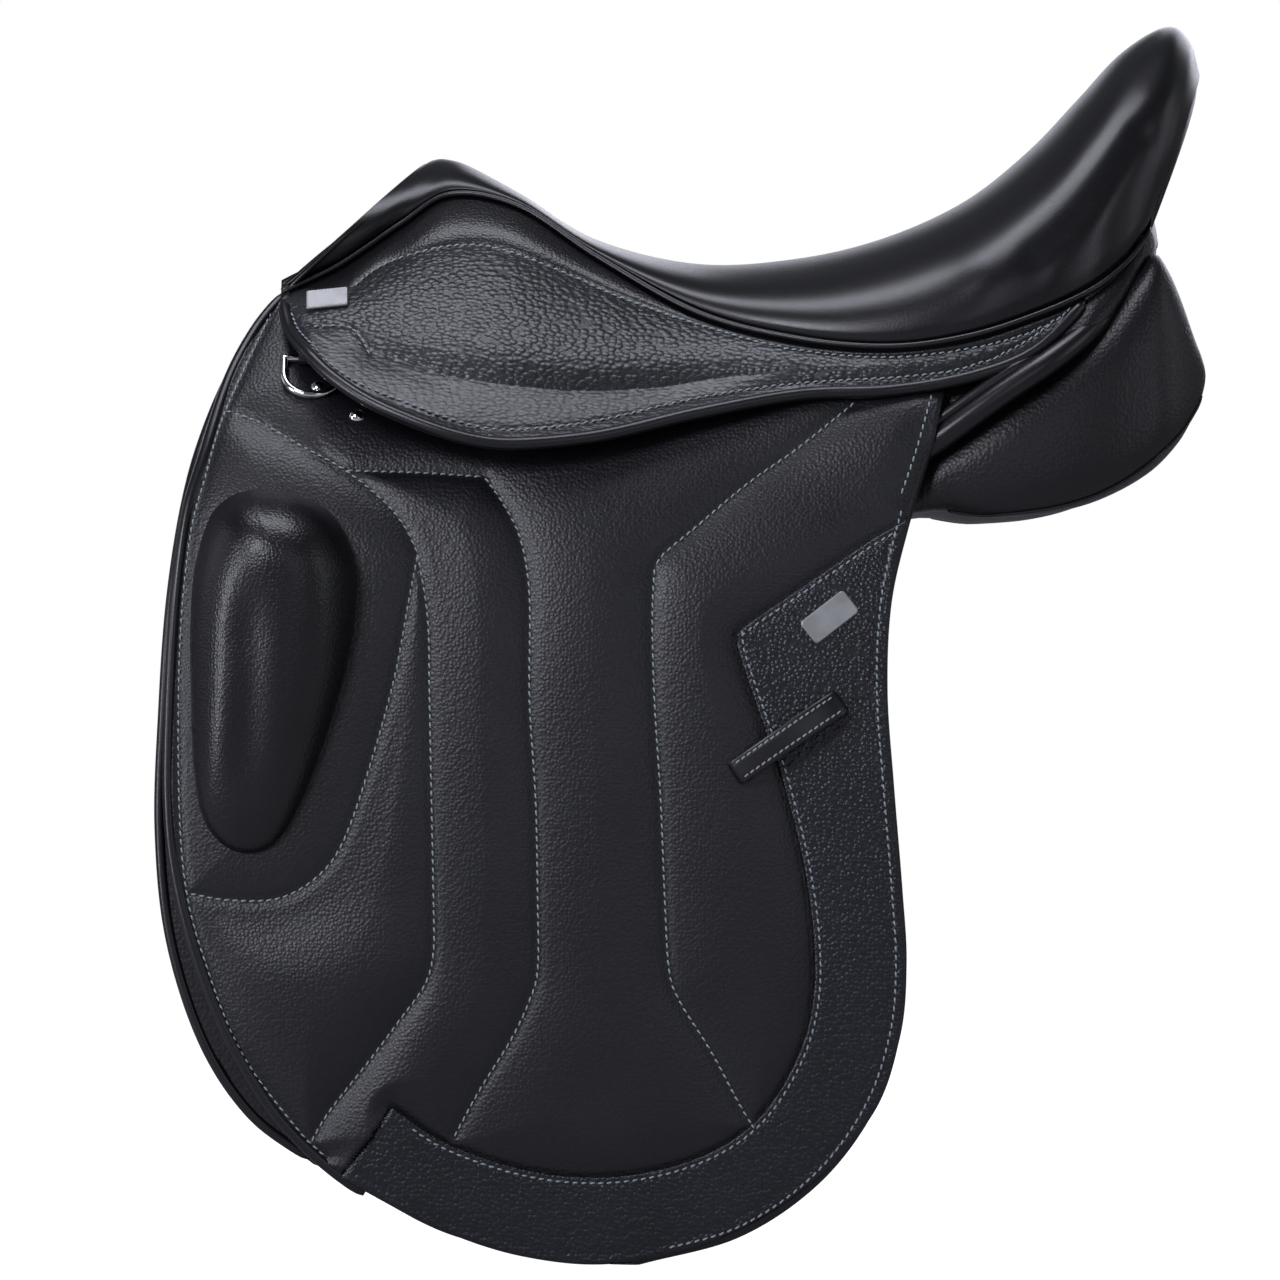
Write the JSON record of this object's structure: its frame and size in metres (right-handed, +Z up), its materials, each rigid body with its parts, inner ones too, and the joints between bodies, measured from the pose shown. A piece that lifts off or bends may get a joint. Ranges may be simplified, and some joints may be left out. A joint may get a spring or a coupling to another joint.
{
  "type": "dressage saddle",
  "caption": "Black leather dressage saddle with deep seat, long straight flaps with thigh blocks, padded panels, girth straps, stirrup bars and front rings",
  "frame": {"origin": "on the centre plane, at the height of the line on which the panels bear, below the middle of the seat", "axes": "+Z up, +X to the cantle, pommel towards -X, near (left) side towards -Y"},
  "size_m": [0.5106, 0.4142, 0.605],
  "materials": {
    "seat_leather": "semi-gloss, fine grain",
    "flap_leather": "satin, pebbled grain",
    "grip_leather": "semi-gloss, coarse grain",
    "panel_leather": "satin, fine grain",
    "piping": "satin",
    "strap_leather": "satin",
    "steel": "polished",
    "bar_steel": "brushed",
    "tree_wood": "matt",
    "webbing": "woven",
    "foam": "matt"
  },
  "bodies": {
    "saddle": {"tree": "tree_wood", "gullet_plate": "bar_steel", "seat_webbing": "webbing", "seat_foam": "foam", "seat_cover": "seat_leather", "seat_welt": "piping", "pommel_facing": "seat_leather", "cantle_facing": "seat_leather", "rear_roll": "piping", "panel_left": "panel_leather", "panel_right": "panel_leather", "panel_facing_left": "panel_leather", "panel_facing_right": "panel_leather", "sweat_flap_left": "flap_leather", "sweat_flap_right": "flap_leather", "sweat_welt_left": "piping", "sweat_welt_right": "piping", "stirrup_bar_left": "bar_steel", "stirrup_bar_right": "bar_steel", "bar_rivets": "bar_steel", "flap_head_left": "flap_leather", "flap_head_right": "flap_leather", "skirt_top_left": "flap_leather", "skirt_top_right": "flap_leather", "ring_loops": "strap_leather", "point_studs": "steel", "girth_webs": "webbing"},
    "flap_left": {"flap_left": "flap_leather", "flap_welt_left": "piping", "grip_panel_left": "grip_leather", "thigh_block_left": "seat_leather", "keeper_left": "strap_leather"},
    "skirt_left": {"skirt_left": "flap_leather", "skirt_welt_left": "piping"},
    "d_ring_left": {"d_ring_left": "steel"},
    "bar_catch_left": {"bar_catch_left": "bar_steel"},
    "girth_strap_front_left": {"girth_strap_front_left": "strap_leather"},
    "girth_strap_rear_left": {"girth_strap_rear_left": "strap_leather"},
    "flap_right": {"flap_right": "flap_leather", "flap_welt_right": "piping", "grip_panel_right": "grip_leather", "thigh_block_right": "seat_leather", "keeper_right": "strap_leather"},
    "skirt_right": {"skirt_right": "flap_leather", "skirt_welt_right": "piping"},
    "d_ring_right": {"d_ring_right": "steel"},
    "bar_catch_right": {"bar_catch_right": "bar_steel"},
    "girth_strap_front_right": {"girth_strap_front_right": "strap_leather"},
    "girth_strap_rear_right": {"girth_strap_rear_right": "strap_leather"}
  },
  "joints": [
    {"name": "flap_lift_left", "type": "hinge", "parent": "saddle", "child": "flap_left", "pos_m": [0, -0.1545, 0.029], "axis": [-0.9993, 0.0377, 0], "range_deg": [0, 60]},
    {"name": "flap_lift_right", "type": "hinge", "parent": "saddle", "child": "flap_right", "pos_m": [0, 0.1545, 0.029], "axis": [0.9993, 0.0377, 0], "range_deg": [0, 60]},
    {"name": "skirt_lift_left", "type": "hinge", "parent": "saddle", "child": "skirt_left", "pos_m": [-0.082, -0.1339, 0.08634], "axis": [-0.9909, 0.0954, 0.0952], "range_deg": [0, 50]},
    {"name": "skirt_lift_right", "type": "hinge", "parent": "saddle", "child": "skirt_right", "pos_m": [-0.082, 0.1339, 0.08634], "axis": [0.9909, 0.0954, -0.0952], "range_deg": [0, 50]},
    {"name": "d_ring_swing_left", "type": "hinge", "parent": "saddle", "child": "d_ring_left", "pos_m": [-0.179, -0.11623, 0.07701], "axis": [-1, 0, 0], "range_deg": [0, 7]},
    {"name": "d_ring_swing_right", "type": "hinge", "parent": "saddle", "child": "d_ring_right", "pos_m": [-0.179, 0.11623, 0.07701], "axis": [1, 0, 0], "range_deg": [0, 7]},
    {"name": "catch_turn_left", "type": "hinge", "parent": "saddle", "child": "bar_catch_left", "pos_m": [-0.098, -0.11609, 0.08571], "axis": [0, -0.7654, 0.6435], "range_deg": [0, 80]},
    {"name": "catch_turn_right", "type": "hinge", "parent": "saddle", "child": "bar_catch_right", "pos_m": [-0.098, 0.11609, 0.08571], "axis": [0, -0.7654, -0.6435], "range_deg": [0, 80]},
    {"name": "strap_front_swing_left", "type": "hinge", "parent": "saddle", "child": "girth_strap_front_left", "pos_m": [-0.07, -0.1488, 0.01453], "axis": [0, -1, 0], "range_deg": [-4, 4]},
    {"name": "strap_front_swing_right", "type": "hinge", "parent": "saddle", "child": "girth_strap_front_right", "pos_m": [-0.07, 0.1488, 0.01453], "axis": [0, -1, 0], "range_deg": [-4, 4]},
    {"name": "strap_rear_swing_left", "type": "hinge", "parent": "saddle", "child": "girth_strap_rear_left", "pos_m": [-0.02, -0.14893, 0.01457], "axis": [0, -1, 0], "range_deg": [-4, 4]},
    {"name": "strap_rear_swing_right", "type": "hinge", "parent": "saddle", "child": "girth_strap_rear_right", "pos_m": [-0.02, 0.14893, 0.01457], "axis": [0, -1, 0], "range_deg": [-4, 4]}
  ]
}
